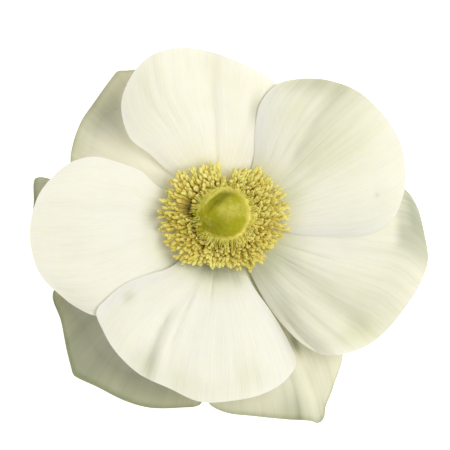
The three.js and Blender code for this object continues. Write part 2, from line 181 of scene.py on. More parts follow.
INNER_TEPALS = {
    "tepal_inner_top": {
        "claw": (72, 128),
        "margin": [
            (7.2, 9.6), (11.2, 15.8), (12.4, 22.2), (10, 26.8), (4.2, 30.2),
            (-2.8, 32.9), (-9.3, 33.6), (-14.9, 31.9), (-18.6, 27.8), (-20.5, 22.2),
            (-18.8, 15.6), (-14.8, 12.4), (-10.8, 8.8),
        ],
        "shoulders": (2, 9),
        "height": (8.3, 0.25, 0.004),
        "stretch": 0,
        "sides": (-1.45, -1.6),
        "folds": [(0.5, 0.47, 0.05, -0.35), (0.6, 0.72, 0.09, 0.25)],
        "creases": [
            (0.49, 0.42, 0.018, -0.2, 0.05, 1.2), (0.66, 0.72, 0.014, -0.16, 0.4, 1.2),
            (0.6, 0.66, 0.012, -0.12, 0.35, 0.9), (0.72, 0.8, 0.014, -0.14, 0.4, 1),
            (0.3, 0.2, 0.02, -0.1, 0.2, 0.9),
        ],
        # Its first olive wash is painted shade beside the right tepal's margin.
        "olive_and_painted_shade": [
            0.01, (0.205, 0.71, 0.028, 0.12, 0.36), (0.5, 0.95, 0.4, 0.15, 0.03),
            (0.85, 0.75, 0.12, 0.2, 0.09),
        ],
        # Its green washes below 0 lighten the foot, as painted light where the stamens shade it.
        "green": [0.02, (0.5, 0.32, 0.7, 0.18, -0.3), (0.3, 0.1, 0.14, 0.14, -0.6)],
    },
    "tepal_inner_right": {
        "claw": (-2, 52),
        "margin": [
            (12.8, -3.2), (18.2, -3.9), (24.2, -4.2), (29.6, -3.4), (33.4, -0.8),
            (35.6, 4.2), (36.1, 9.2), (34.8, 15.2), (31.6, 20.2), (26.8, 24.7),
            (20.9, 27), (15.2, 27.3), (10.4, 26.1), (7.2, 22.4), (6.2, 17.2),
            (6, 11.6),
        ],
        "shoulders": (4, 12),
        "height": (9, 0.245, 0.004),
        "press": (0.2, 0),
        "stretch": 0.005,
        "sides": (-0.3, -0.35),
        "folds": [(0.6, 0.66, 0.11, -1.1), (0.35, 0.4, 0.14, 0.5)],
        "swells": [
            (0.8, 1, 0.2, 0.16, -1.3), (1, 0.42, 0.2, 0.4, -0.8), (0, 0.35, 0.18, 0.3, -0.42),
        ],
        "creases": [
            (0.6, 0.7, 0.035, -0.35, 0.3, 1.2), (0.7, 0.78, 0.015, -0.15, 0.3, 1),
            (0.56, 0.58, 0.014, -0.22, 0.15, 0.75), (0.47, 0.45, 0.012, -0.18, 0.15, 0.6),
            (0.38, 0.34, 0.012, -0.18, 0.15, 0.5), (0.8, 0.86, 0.015, -0.16, 0.2, 0.6),
        ],
        "olive_and_painted_shade": [
            0.03, (0.9, 0.92, 0.12, 0.12, 0.11), (0.2, 0.8, 0.012, 0.012, 0.22),
            (0.66, 0.8, 0.07, 0.3, 0.1), (0.81, 1, 0.15, 0.12, 0.45), (0.6, 0.35, 0.3, 0.2, 0.06),
        ],
        "green": [
            0.08, (0.64, 0.6, 0.12, 0.4, 0.25), (0.5, 0.62, 0.12, 0.25, 0.4),
            (0.83, 0.75, 0.08, 0.15, 0.3), (0.37, 0.27, 0.12, 0.1, 0.3),
        ],
    },
    "tepal_inner_lower_right": {
        "claw": (-62, -14),
        "margin": [
            (5.6, -12), (9.2, -18.4), (12.6, -22.6), (15.4, -25.2), (18, -26.8),
            (20.6, -27.5), (23.9, -27.2), (27.9, -25.9), (31.6, -23.2), (35.2, -19),
            (38.4, -14.2), (40.3, -9.2), (39.7, -3.8), (38, 2.4), (35.2, 5.6),
            (28.2, 4.8), (19.2, 2.2), (12.2, 0),
        ],
        "shoulders": (4, 13),
        "height": (8.1, 0.25, 0.004),
        "sides": (-1.2, -1.8),
        "folds": [
            (0.3, 0.12, 0.07, 0.8), (0.42, 0.32, 0.08, -0.6), (0.8, 0.72, 0.1, 0.5),
        ],
        "swells": [(0.98, 1.02, 0.22, 0.22, -4.2)],
        "creases": [
            (0.22, 0.1, 0.045, 1, 0.4, 1.2), (0.41, 0.29, 0.065, -0.45, 0.2, 0.98),
            (0.26, 0.17, 0.022, -0.35, 0.4, 1.05), (0.1, 0.035, 0.02, -0.4, 0.5, 1.2),
            (0.66, 0.72, 0.03, 0.5, 0.45, 1.2), (0.5, 0.46, 0.012, -0.18, 0.12, 0.75),
            (0.58, 0.56, 0.012, -0.22, 0.12, 0.6), (0.44, 0.4, 0.012, -0.24, 0.12, 0.7),
            (0.3, 0.24, 0.012, -0.24, 0.15, 0.6), (0.66, 0.64, 0.012, -0.16, 0.15, 0.5),
            (0.33, 0.33, 0.08, 0.45, 0.86, 1.4), (0.17, 0.17, 0.03, -0.18, 0.4, 0.85),
        ],
        # Its olive washes at the foot and along the side next to the bottom tepal are painted
        # shade: the stamens' shadow and the dark gap. Its patches paint shade on the corner that
        # bends away.
        "olive_and_painted_shade": [
            0.06, (0.54, 0.9, 0.2, 0.15, 0.05), (0.32, 0.88, 0.055, 0.1, 0.02),
            (0.12, 0.42, 0.1, 0.22, 0.2), (0.04, 0.62, 0.08, 0.22, 0.16),
            (0.3, 0.2, 0.3, 0.14, 0.31), (0.55, 1, 0.25, 0.25, 0.1),
            (0.09, 0.89, 0.06, 0.1, 0.12), (0.71, 0.88, 0.06, 0.08, 0.08),
        ],
        "patches": [(0.68, 0.75, 0.78, 0.84, 0.39), (0.77, 0.84, 0.84, 0.91, 0.27)],
        "green": [
            0.1, (0.68, 0.5, 0.1, 0.2, -0.1), (0.1, 0.6, 0.12, 0.25, 0.12),
            (0.35, 0.6, 0.15, 0.4, 0.2), (0.26, 0.91, 0.08, 0.08, 0.52),
        ],
    },
    "tepal_inner_bottom": {
        "claw": (230, 284),
        "margin": [
            (-10.8, -10.3), (-15.2, -11.7), (-20, -13.7), (-23.8, -16.8), (-25.6, -19.2),
            (-24.2, -23), (-22, -26.8), (-17.2, -31.5), (-10.8, -34.6), (-4.8, -37.2),
            (1.6, -37), (7.6, -35.7), (12, -33.2), (14.4, -29.6), (13.2, -25.8),
            (9.6, -19.4), (6.3, -14.8), (4.2, -11.2),
        ],
        "shoulders": (4, 13),
        "height": (8.8, 0.24, 0.0038),
        "press": (0.35, 0.2),
        "stretch": -0.003,
        "sides": (-0.3, -0.3),
        "folds": [
            (0.35, 0.24, 0.06, -0.9), (0.5, 0.42, 0.06, -0.4), (0.75, 0.8, 0.14, 0.4),
        ],
        "swells": [(1, 0.5, 0.18, 0.5, -0.55)],
        "creases": [
            (0.25, 0.34, 0.022, -0.55, 0.45, 1.2), (0.34, 0.42, 0.014, -0.25, 0.25, 1),
            (0.52, 0.58, 0.012, -0.25, 0.08, 0.42), (0.7, 0.73, 0.014, -0.15, 0.6, 1.2),
            (0.78, 0.81, 0.012, -0.12, 0.6, 1.2), (0.6, 0.64, 0.012, -0.1, 0.4, 1),
        ],
        # Its olive washes at the foot are the stamens' painted shadow, and the one on its margin
        # next to the lower right tepal is painted shade where that margin curves down.
        "olive_and_painted_shade": [
            0, (0.33, 0.92, 0.03, 0.12, 0.25), (0.07, 0.7, 0.03, 0.05, 0.12),
            (1, 0.76, 0.03, 0.22, 0.34), (0.55, 0.14, 0.45, 0.06, 0.7),
            (0.18, 0.18, 0.14, 0.05, 0.2), (0.86, 0.21, 0.07, 0.05, 0.25),
        ],
        "green": [
            -0.04, (0.42, 0.95, 0.25, 0.1, 0.35), (0.77, 0.86, 0.08, 0.12, 0.3),
            (0.07, 0.7, 0.03, 0.05, 0.35), (0.15, 0.65, 0.12, 0.3, 0.12),
            (0.55, 0.12, 0.4, 0.15, 0.12),
        ],
    },
    "tepal_inner_left": {
        "claw": (156, 220),
        "margin": [
            (-13.4, 6), (-16.4, 8.8), (-20.8, 10.6), (-26.2, 11.8), (-30.8, 10.4),
            (-34.6, 7.3), (-37.1, 3.7), (-38.6, -2.4), (-38.2, -7.4), (-36.4, -11.9),
            (-33, -15.4), (-29.4, -18), (-25.1, -19.9), (-19.2, -18.4), (-13.8, -14),
            (-9.2, -9.8),
        ],
        "shoulders": (4, 11),
        "height": (8.3, 0.25, 0.004),
        "stretch": 0.004,
        "sides": (-0.8, -1.7),
        "folds": [(0.55, 0.6, 0.12, -0.35)],
        "creases": [(0.35, 0.3, 0.03, -0.1, 0.1, 1), (0.6, 0.62, 0.02, -0.08, 0.2, 0.9)],
        # Its olive washes near the foot are the stamens' painted shadow.
        "olive_and_painted_shade": [
            0, (0.36, 0.26, 0.12, 0.05, 0.36), (0.9, 0.85, 0.12, 0.14, 0.17),
            (0.5, 0.77, 0.12, 0.1, 0.05), (0.88, 0.22, 0.12, 0.06, 0.15),
        ],
        "green": [0.02, (0.6, 0.7, 0.2, 0.3, 0.05)],
    },
}

OUTER_TEPALS = {
    "tepal_outer_upper_left": {
        "claw": (126, 158),
        "margin": [
            (-11.2, 13.2), (-13.8, 22.2), (-16.2, 28.9), (-19.6, 29), (-21.2, 28.9),
            (-22.1, 27.9), (-25.8, 22.8), (-28.8, 18.2), (-30.6, 11.2), (-29.6, 8),
            (-20.8, 5.6), (-11.8, 3.2),
        ],
        "shoulders": (2, 9),
        "height": (6.4, 0.12, 0.0165),
        "sides": (-0.6, -0.3),
        "folds": [(0.5, 0.5, 0.12, 0.6)],
        "creases": [(0.7, 0.75, 0.04, -0.2, 0.3, 1.2)],
        # Its olive is partly its own grey-green and partly painted shadow of the top tepal,
        # darkest at the top.
        "olive_and_painted_shade": [
            0.05, (0.43, 0.87, 0.19, 0.23, 0.45), (0.9, 1, 0.2, 0.1, 0.2),
            (0.65, 0.96, 0.25, 0.1, 0.27), (0.15, 1, 0.15, 0.2, 0.25),
        ],
        "green": [0.12, (0.72, 0.77, 0.12, 0.15, -0.1), (0.5, 0.25, 0.5, 0.25, -0.4)],
    },
    "tepal_outer_left": {
        "claw": (166, 196),
        "margin": [
            (-12.8, 2), (-22.8, 4), (-31.6, 6.4), (-37.8, 7.6), (-38.2, 3.2),
            (-38.2, -1.2), (-36.4, -6.4), (-28.8, -8), (-18.8, -6), (-10.4, -3.6),
        ],
        "shoulders": (3, 6),
        "height": (6.4, 0.12, 0.009),
        "stretch": 0,
        "sides": (-0.4, -0.6),
        "folds": [(0.5, 0.45, 0.14, 0.4)],
        "creases": [(0.3, 0.3, 0.04, -0.2, 0.3, 1.2)],
        # Its olive is partly its own grey-green and partly painted shade under the inner tepals.
        "olive_and_painted_shade": [0.68, (0.1, 0.9, 0.15, 0.15, -0.12)],
    },
    "tepal_outer_lower_left": {
        "claw": (208, 254),
        "margin": [
            (-10.4, -6), (-20.8, -9.2), (-29.8, -11.6), (-34.1, -15.3), (-32.5, -20.9),
            (-31.4, -26.5), (-30.5, -30.1), (-30, -31.7), (-28.9, -32.4), (-25.4, -34),
            (-19.8, -36.8), (-14.8, -38.2), (-8.8, -38.2), (-4.8, -37.6), (-4, -35.2),
            (-3.4, -25.8), (-3, -14.8),
        ],
        "shoulders": (3, 13),
        "height": (6.4, 0.12, 0.0113),
        "sides": (-0.7, -0.9),
        "folds": [(0.5, 0.5, 0.2, 0.4)],
        "creases": [(0.3, 0.25, 0.03, -0.25, 0.3, 1.2), (0.6, 0.65, 0.03, -0.2, 0.3, 1.2)],
        # Its olive is partly its own grey-green and partly painted shade under the inner tepals.
        "olive_and_painted_shade": [
            0.52, (0.38, 0.96, 0.15, 0.1, 0.16), (0.3, 0.9, 0.25, 0.3, 0.04),
            (0.6, 0.95, 0.3, 0.2, 0.05), (0.1, 0.95, 0.15, 0.3, 0.12),
            (0.5, 1.03, 0.6, 0.09, 0.12),
        ],
    },
    "tepal_outer_bottom": {
        "claw": (268, 314),
        "margin": [
            (-2, -14.8), (-2.2, -25.8), (-3, -35.8), (-3, -37.2), (0.2, -39),
            (6.2, -39.8), (13.2, -40.5), (17.3, -40.8), (18.8, -41.3), (19.9, -40.3),
            (20.2, -38.2), (21.7, -34.1), (23.6, -27.2), (22.2, -21.8), (15.2, -13.8),
        ],
        "shoulders": (3, 12),
        "height": (6.4, 0.12, 0.0068),
        "sides": (-0.5, -0.3),
        "folds": [(0.55, 0.6, 0.07, -0.9), (0.4, 0.4, 0.1, 0.4)],
        "creases": [
            (0.5, 0.5, 0.02, -0.4, 0.55, 1.2), (0.6, 0.62, 0.015, -0.25, 0.6, 1.2),
            (0.42, 0.42, 0.012, -0.15, 0.6, 1.2), (0.8, 0.8, 0.03, -0.2, 0.2, 1.2),
        ],
        # Its olive is partly its own grey-green; its washes near the middle are painted shade in
        # the dark gap under the lower right tepal, and those below 0 lighten it again.
        "olive_and_painted_shade": [
            0.24, (0.3, 1, 0.3, 0.05, 0.2), (0.58, 0.48, 0.18, 0.15, 0.16),
            (0.635, 0.59, 0.03, 0.05, 0.55), (0.15, 1, 0.15, 0.12, 0.08),
            (0.55, 0.97, 0.2, 0.1, 0.12), (0.62, 0.69, 0.06, 0.08, -0.2),
            (0.64, 0.87, 0.08, 0.1, -0.22), (0.88, 0.8, 0.1, 0.15, -0.16),
            (0.49, 0.95, 0.02, 0.12, 0.18), (0.45, 0.94, 0.06, 0.08, 0.13),
        ],
    },
    "tepal_outer_right": {
        "claw": (328, 374),
        "margin": [
            (12.2, -7.8), (22.2, -13.8), (31.2, -15.8), (36, -10.4), (37, -3.8),
            (35.2, 1.6), (30.8, 5.6), (22.2, 6), (12.2, 3.6),
        ],
        "shoulders": (2, 6),
        "height": (6.4, 0.1, 0.0144),
        "sides": (-0.3, -0.5),
        "folds": [(0.5, 0.5, 0.12, 0.5)],
        "creases": [(0.3, 0.3, 0.04, -0.2, 0.3, 1.2)],
        "olive_and_painted_shade": [0.35],
    },
    "tepal_outer_upper_right": {
        "claw": (32, 78),
        "margin": [
            (11.6, 7.6), (21.2, 12.2), (28.4, 15.6), (28.4, 20.8), (22.8, 24),
            (15.2, 24.8), (8.4, 24.8), (4.4, 19.2), (2.8, 11.2),
        ],
        "shoulders": (2, 6),
        "height": (6.4, 0.1, 0.0134),
        "sides": (-0.4, -0.6),
        "folds": [(0.5, 0.5, 0.2, 0.4)],
        "creases": [(0.6, 0.6, 0.04, -0.2, 0.3, 1.2)],
        "olive_and_painted_shade": [0.35],
    },
}


class BloomSizes(bpy.types.PropertyGroup):
    """Sizes that a user would change"""

    thickness: FloatProperty(
        name="Tepal thickness", description="Thickness of a tepal at its middle",
        default=0.00065, min=0.0002, max=0.002, subtype="DISTANCE", unit="LENGTH",
    )
    margin: FloatProperty(
        name="Margin", description="Thickness at a tepal's edge, as a share of its middle's",
        default=0.45, min=0.1, max=1, subtype="FACTOR",
    )
    columns: IntProperty(
        name="Columns", description="Faces across a tepal", default=56, min=12, max=96,
    )
    rows: IntProperty(
        name="Rows", description="Faces along a tepal", default=56, min=12, max=96,
    )
    stamens: IntProperty(
        name="Stamens", description="How many stamens stand round the pistil",
        default=720, min=60, max=900,
    )
    anther: FloatProperty(
        name="Anther length", description="Length of an anther",
        default=0.0015, min=0.0005, max=0.003, subtype="DISTANCE", unit="LENGTH",
    )
    filament: FloatProperty(
        name="Filament radius", description="Radius of a stamen's stalk",
        default=0.00019, min=0.00005, max=0.0004, subtype="DISTANCE", unit="LENGTH",
    )
    carpel: FloatProperty(
        name="Carpel relief", description="How far a carpel's tip stands out of the pistil",
        default=0.00018, min=0, max=0.001, subtype="DISTANCE", unit="LENGTH",
    )


def colour_property(name, description, default):
    return FloatVectorProperty(
        name=name, description=description, default=default, size=3, min=0, max=1,
        subtype="COLOR",
    )


class BloomColours(bpy.types.PropertyGroup):
    """Colours that a user would change"""

    cream: colour_property("Cream", "Most of each tepal", (0.95, 0.92, 0.78))
    green: colour_property("Green flush", "Veins and feet of the tepals", (0.68, 0.70, 0.46))
    # The olive is the outer tepals' own grey-green, and is also painted as shade in gaps, in
    # creases and under the stamens.
    olive_and_painted_shade: colour_property("Olive", "The dark outer tepals", (0.255, 0.285, 0.165))
    gold: colour_property("Gold", "Ripe anthers", (0.6, 0.49, 0.035))
    pollen: colour_property("Pollen", "The palest anthers", (0.96, 0.86, 0.28))
    filament: colour_property("Filaments", "Stalks of the stamens", (0.98, 0.8, 0.18))
    pistil: colour_property("Pistil", "The pistil head", (0.415, 0.39, 0.012))
    lip: colour_property("Lip", "The pistil head's pale lip and styles", (1.0, 0.88, 0.26))
    stem: colour_property("Stem", "Stem and receptacle", (0.27, 0.36, 0.10))
    floor: colour_property("Floor", "What the bloom lies on", (0.95, 0.95, 0.95))


# Shared steps

def deselect():
    bpy.ops.object.select_all(action="DESELECT")


def chosen(piece):
    deselect()
    piece.select_set(True)
    bpy.context.view_layer.objects.active = piece


def start_piece(name):
    """The primitive just added, named and ready to shape."""
    piece = bpy.context.object
    piece.name = name
    piece.data.name = name
    return piece


def settle(piece):
    """Puts the piece's place in its mesh."""
    chosen(piece)
    bpy.ops.object.transform_apply(location=True, rotation=True, scale=True)
    return piece


def apply_modifier(piece, kind, **settings):
    chosen(piece)
    modifier = piece.modifiers.new(kind.title(), kind)
    for key, value in settings.items():
        setattr(modifier, key, value)
    bpy.ops.object.modifier_apply(modifier=modifier.name)


def smooth(piece, degrees=40):
    chosen(piece)
    bpy.ops.object.shade_smooth_by_angle(angle=math.radians(degrees))


def coordinates(mesh):
    found = np.empty(len(mesh.vertices) * 3)
    mesh.vertices.foreach_get("co", found)
    return found.reshape(-1, 3)


def place(mesh, found):
    mesh.vertices.foreach_set("co", np.asarray(found, dtype=float).ravel())
    mesh.update()


def store(mesh, name, values):
    attribute = mesh.attributes.get(name) or mesh.attributes.new(name, "FLOAT", "POINT")
    attribute.data.foreach_set("value", np.asarray(values, dtype=np.float32))


def joined(pieces, name):
    deselect()
    for piece in pieces:
        piece.select_set(True)
    bpy.context.view_layer.objects.active = pieces[0]
    bpy.ops.object.join()
    return start_piece(name)


def bell(x):
    return np.exp(-x * x)


def eased(value, low, high):
    share = np.clip((value - low) / (high - low), 0, 1)
    return share * share * (3 - 2 * share)


def polar(radius, degrees):
    angle = np.radians(degrees)
    return np.stack([radius * np.cos(angle), radius * np.sin(angle)], axis=-1)


# Shape of a tepal: u runs across it from its right side, v along it from its foot

def curve_through(points, steps):
    """A centripetal Catmull-Rom curve through the points, with some steps to each."""
    points = np.asarray(points, dtype=float)
    ahead = 2 * points[-1] - points[-2]
    behind = 2 * points[0] - points[1]
    padded = np.vstack([behind, points, ahead])
    found = []
    for n in range(len(points) - 1):
        a, b, c, d = padded[n:n + 4]
        first, middle, last = (math.sqrt(math.dist(p, q)) for p, q in ((a, b), (b, c), (c, d)))
        leave = (b - a) / first - (c - a) / (first + middle) + (c - b) / middle
        arrive = (c - b) / middle - (d - b) / (middle + last) + (d - c) / last
        leave, arrive = leave * middle, arrive * middle
        for t in np.arange(steps) / steps:
            square = -3 * b + 3 * c - 2 * leave - arrive
            cube = 2 * b - 2 * c + leave + arrive
            found.append(b + leave * t + square * t * t + cube * t ** 3)
    found.append(points[-1])
    return np.array(found)


def evenly(line, count):
    """Points spaced evenly along a line."""
    lengths = np.linalg.norm(np.diff(line, axis=0), axis=1)
    reach = np.concatenate([[0], np.cumsum(lengths)])
    wanted = np.linspace(0, reach[-1], count + 1)
    return np.stack([np.interp(wanted, reach, line[:, k]) for k in (0, 1)], axis=-1)


def plan_of(tepal, across, along):
    """The plan as rows of points: a patch between the foot, the two sides and the tip."""
    right_claw, left_claw = tepal["claw"]
    outline = [polar(FOOT_RADIUS, right_claw), *tepal["margin"], polar(FOOT_RADIUS, left_claw)]
    steps = 12
    line = curve_through(outline, steps)
    right, left = ((n + 1) * steps for n in tepal["shoulders"])
    side_right = evenly(line[:right + 1], along)[:, None]
    tip = evenly(line[right:left + 1], across)[None]
    side_left = evenly(line[left:][::-1], along)[:, None]
    u = np.linspace(0, 1, across + 1)[None, :, None]
    v = np.linspace(0, 1, along + 1)[:, None, None]
    foot = polar(FOOT_RADIUS, right_claw + (left_claw - right_claw) * u[..., 0])
    straight = foot * (1 - v) + tip * v
    sideways = side_right * (1 - u) + side_left * u
    foot_line = foot[:, :1] * (1 - u) + foot[:, -1:] * u
    tip_line = tip[:, :1] * (1 - u) + tip[:, -1:] * u
    plan = straight + sideways - foot_line * (1 - v) - tip_line * v
    radius = np.linalg.norm(plan, axis=-1)
    stretch = tepal["stretch"] * eased(radius, *STRETCH_BETWEEN)
    return plan * (1 + stretch)[..., None]


def creases_of(tepal, u, v):
    """Each narrow crease's height, as a whole and at every point."""
    for at_foot, at_tip, width, height, begin, end in tepal["creases"]:
        window = eased(v, begin, begin + CREASE_FADE) * (1 - eased(v, end - CREASE_FADE, end))
        line = bell((u - at_foot - (at_tip - at_foot) * v) / width)
        yield height, height * window * line


def height_of(tepal, plan, u, v):
    radius = np.linalg.norm(plan, axis=-1)
    beyond_claw = radius - CLAW_RADIUS
    base, rise, droop = tepal["height"]
    set_in = eased(radius, CLAW_RADIUS, SIDES_SET_BY)
    side = 2 * u - 1
    right, left = tepal["sides"]
    z = base + rise * beyond_claw - droop * beyond_claw ** 2
    z = z + set_in * np.where(side < 0, right, left) * np.abs(side) ** SIDE_BEND
    wave = np.sin(2 * np.pi * RUFFLE_WAVES * u + tepal["claw"][0])
    z = z + tepal["ruffle"] * v ** 3 * wave
    pressed_right, pressed_left = tepal["press"]
    z = z - pressed_right * (1 - eased(u, 0, PRESSED_WIDTH))
    z = z - pressed_left * eased(u, 1 - PRESSED_WIDTH, 1)
    for at_foot, at_tip, width, height in tepal["folds"]:
        z = z + height * v * bell((u - at_foot - (at_tip - at_foot) * v) / width)
    for _, depth in creases_of(tepal, u, v):
        z = z + depth
    for across_at, along_at, across_by, along_by, height in tepal["swells"]:
        z = z + height * bell((u - across_at) / across_by) * bell((v - along_at) / along_by)
    return z


def wash(spots, u, v):
    """A soft wash of colour over a tepal, at most 1; below 0 it takes colour away."""
    strength = np.full(u.shape, float(spots[0]))
    for across_at, along_at, across_by, along_by, amount in spots[1:]:
        strength += amount * bell((u - across_at) / across_by) * bell((v - along_at) / along_by)
    return np.clip(strength, -1, 1)


def olive_and_painted_shade_of(tepal, u, v):
    """The olive wash, partly the tepal's own tint and partly painted shade, with corners
    painted darker where the tepal bends away, painted shade down in the creases and a dark
    line on the margin.
    """
    strength = wash(tepal["olive_and_painted_shade"], u, v)
    for across_from, across_to, along_from, along_to, amount in tepal["patches"]:
        corner = eased(u, across_from, across_to) * eased(v, along_from, along_to)
        strength = strength + amount * corner
    from_sides = np.minimum(u, 1 - u) / EDGE_LINE["across"]
    from_tip = (1 - v) / EDGE_LINE["along"]
    strength = strength + tepal["edge"] * bell(np.minimum(from_sides, from_tip))
    for height, depth in creases_of(tepal, u, v):
        if height < 0:
            strength = strength - CREASE_SHADE * depth
    return np.clip(strength, 0, 1)


def tepal_piece(name, tepal, face, back):
    sizes = bpy.context.scene.bloom_sizes
    across, along = sizes.columns, sizes.rows
    deselect()
    bpy.ops.mesh.primitive_grid_add(x_subdivisions=across, y_subdivisions=along, size=2)
    piece = start_piece(name + "_petal")
    mesh = piece.data
    flat = coordinates(mesh)
    u = (1 - flat[:, 0]) / 2
    v = (1 + flat[:, 1]) / 2
    columns = np.rint(u * across).astype(int)
    rows = np.rint(v * along).astype(int)
    plan = plan_of(tepal, across, along)[rows, columns]
    half = sizes.thickness / MM / 2
    z = np.maximum(height_of(tepal, plan, u, v), half)
    place(mesh, np.column_stack([plan, z]) * MM + np.array([AXIS.x, AXIS.y, 0]))
    store(mesh, "olive_and_painted_shade", olive_and_painted_shade_of(tepal, u, v))
    store(mesh, "green", wash(tepal["green"], u, v))
    store(mesh, "length", v)
    from_margin = np.minimum(np.minimum(u, 1 - u), 1 - v) / THIN_MARGIN
    body = piece.vertex_groups.new(name="body")
    for n, share in enumerate(np.clip(from_margin, 0, 1)):
        body.add([n], float(share), "REPLACE")
    mesh.materials.append(face)
    mesh.materials.append(back)
    apply_modifier(
        piece, "SOLIDIFY", thickness=sizes.thickness, offset=0, use_even_offset=True,
        vertex_group="body", thickness_vertex_group=sizes.margin, material_offset=1,
    )
    solid = coordinates(mesh)
    solid[:, 2] = np.maximum(solid[:, 2], 0)
    place(mesh, solid)
    smooth(piece)
    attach(piece, "root")
    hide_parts(name)


# Materials

class Finish:
    """A material under construction, with short calls for its nodes."""

    def __init__(self, name, colour):
        self.material = bpy.data.materials.new(name)
        self.material.use_nodes = True
        self.material.diffuse_color = (*colour, 1)
        self.tree = self.material.node_tree
        self.shader = self.tree.nodes["Principled BSDF"]

    def add(self, kind, **settings):
        node = self.tree.nodes.new(kind)
        for key, value in settings.items():
            setattr(node, key, value)
        return node

    def link(self, source, target):
        self.tree.links.new(source, target)

    def attribute(self, name):
        return self.add("ShaderNodeAttribute", attribute_name=name).outputs["Fac"]

    def stretched_noise(self, scale, detail=3.0):
        """Noise on the piece's own UV map, drawn out along its length."""
        uv = self.add("ShaderNodeUVMap", uv_map="UVMap")
        mapping = self.add("ShaderNodeMapping")
        mapping.inputs["Scale"].default_value = scale
        self.link(uv.outputs["UV"], mapping.inputs["Vector"])
        noise = self.add("ShaderNodeTexNoise")
        noise.inputs["Scale"].default_value = 1
        noise.inputs["Detail"].default_value = detail
        self.link(mapping.outputs["Vector"], noise.inputs["Vector"])
        return noise.outputs["Fac"]

    def noise(self, scale, detail=3.0):
        place_node = self.add("ShaderNodeTexCoord")
        noise = self.add("ShaderNodeTexNoise")
        noise.inputs["Scale"].default_value = scale
        noise.inputs["Detail"].default_value = detail
        self.link(place_node.outputs["Object"], noise.inputs["Vector"])
        return noise.outputs["Fac"]

    def between(self, value, low, high, to_low=0.0, to_high=1.0):
        node = self.add("ShaderNodeMapRange", interpolation_type="SMOOTHSTEP")
        for key, number in (
            ("From Min", low), ("From Max", high), ("To Min", to_low), ("To Max", to_high),
        ):
            node.inputs[key].default_value = number
        self.link(value, node.inputs["Value"])
        return node.outputs["Result"]

    def sum_of(self, first, second, operation="ADD"):
        node = self.add("ShaderNodeMath", operation=operation)
        for socket, value in zip(node.inputs, (first, second)):
            if isinstance(value, (int, float)):
                socket.default_value = value
            else:
                self.link(value, socket)
        return node.outputs["Value"]

    def mix(self, factor, first, second):
        node = self.add("ShaderNodeMix", data_type="RGBA")
        for socket, value in ((node.inputs["Factor"], factor), (node.inputs[6], first),
                              (node.inputs[7], second)):
            if isinstance(value, bpy.types.NodeSocket):
                self.link(value, socket)
            elif isinstance(value, (int, float)):
                socket.default_value = value
            else:
                socket.default_value = (*value, 1)
        return node.outputs[2]

    def bump(self, height, distance, strength=0.6):
        node = self.add("ShaderNodeBump")
        node.inputs["Distance"].default_value = distance
        node.inputs["Strength"].default_value = strength
        self.link(height, node.inputs["Height"])
        self.link(node.outputs["Normal"], self.shader.inputs["Normal"])

    def colour(self, socket):
        self.link(socket, self.shader.inputs["Base Color"])

    def set(self, **settings):
        for key, value in settings.items():
            self.shader.inputs[key.replace("_", " ")].default_value = value


def shade_of(colour, share):
    return tuple(channel * share for channel in colour)


def tepal_finish(name, reverse, streaked=0.1):
    """A petal's skin: cream, with green along its veins and foot, and olive washes that are
    partly the tepal's own tint and partly painted shade.
    """
    colours = bpy.context.scene.bloom_colours
    cream, green, olive_and_painted_shade = tuple(colours.cream), tuple(colours.green), tuple(colours.olive_and_painted_shade)
    finish = Finish(name, cream)
    veins = finish.stretched_noise((44, 1.6, 1))
    threads = finish.stretched_noise((150, 4, 1), 2)
    mottle = finish.noise(140, 4)
    uneven = finish.between(veins, 0.35, 0.65, 1 - streaked, 1 + 0.75 * streaked)
    flush = finish.sum_of(finish.attribute("green"), uneven, "MULTIPLY")
    length = finish.attribute("length")
    foot = finish.between(length, 0.1, 0.4, 0.6, 0.0)
    streaks = finish.between(veins, 0.5, 0.75, 0.0, 0.2 if reverse else 0.06)
    greenness = finish.sum_of(finish.sum_of(flush, foot), streaks)
    clouds = finish.between(mottle, 0.35, 0.7, -0.03, 0.06)
    greenness = finish.sum_of(greenness, clouds)
    skin = finish.mix(greenness, cream, green)
    olive_and_painted_shade_share = finish.attribute("olive_and_painted_shade")
    # The back takes less of the olive, as much of it is painted shade for the face.
    if reverse:
        olive_and_painted_shade_share = finish.between(olive_and_painted_shade_share, 0, 1, 0.1, 0.45)
    half_strong = finish.sum_of(olive_and_painted_shade_share, finish.sum_of(1, olive_and_painted_shade_share, "SUBTRACT"), "MULTIPLY")
    swing = finish.between(veins, 0.35, 0.65, -streaked, 0.75 * streaked)
    dark = finish.sum_of(olive_and_painted_shade_share, finish.sum_of(half_strong, swing, "MULTIPLY"))
    skin = finish.mix(dark, skin, olive_and_painted_shade)
    lines = finish.between(threads, 0.5, 0.72, 0.0, 0.09)
    skin = finish.mix(lines, skin, shade_of(green, 0.8))
    finish.colour(skin)
    relief = finish.sum_of(veins, finish.sum_of(threads, 0.4, "MULTIPLY"))
    finish.bump(relief, 0.00022 if reverse else 0.00014)
    finish.set(Roughness=0.55, Specular_IOR_Level=0.3, Sheen_Weight=0.12, Sheen_Roughness=0.5,
               Subsurface_Weight=0.35, Subsurface_Scale=0.0012)
    finish.shader.inputs["Subsurface Radius"].default_value = (1.0, 0.9, 0.55)
    return finish.material


def grainy_finish(name, first, second, grain, relief, roughness, mottled=0.3):
    """A matt, powdery skin between two colours, by the tone and a fine grain."""
    finish = Finish(name, first)
    speckle = finish.noise(grain, 3)
    share = finish.between(speckle, 0.35, 0.7, -mottled, mottled)
    share = finish.sum_of(share, finish.attribute("tone"))
    finish.colour(finish.mix(share, first, second))
    finish.bump(speckle, relief)
    finish.set(Roughness=roughness, Specular_IOR_Level=0.25, Subsurface_Weight=0.15,
               Subsurface_Scale=0.0006)
    return finish.material


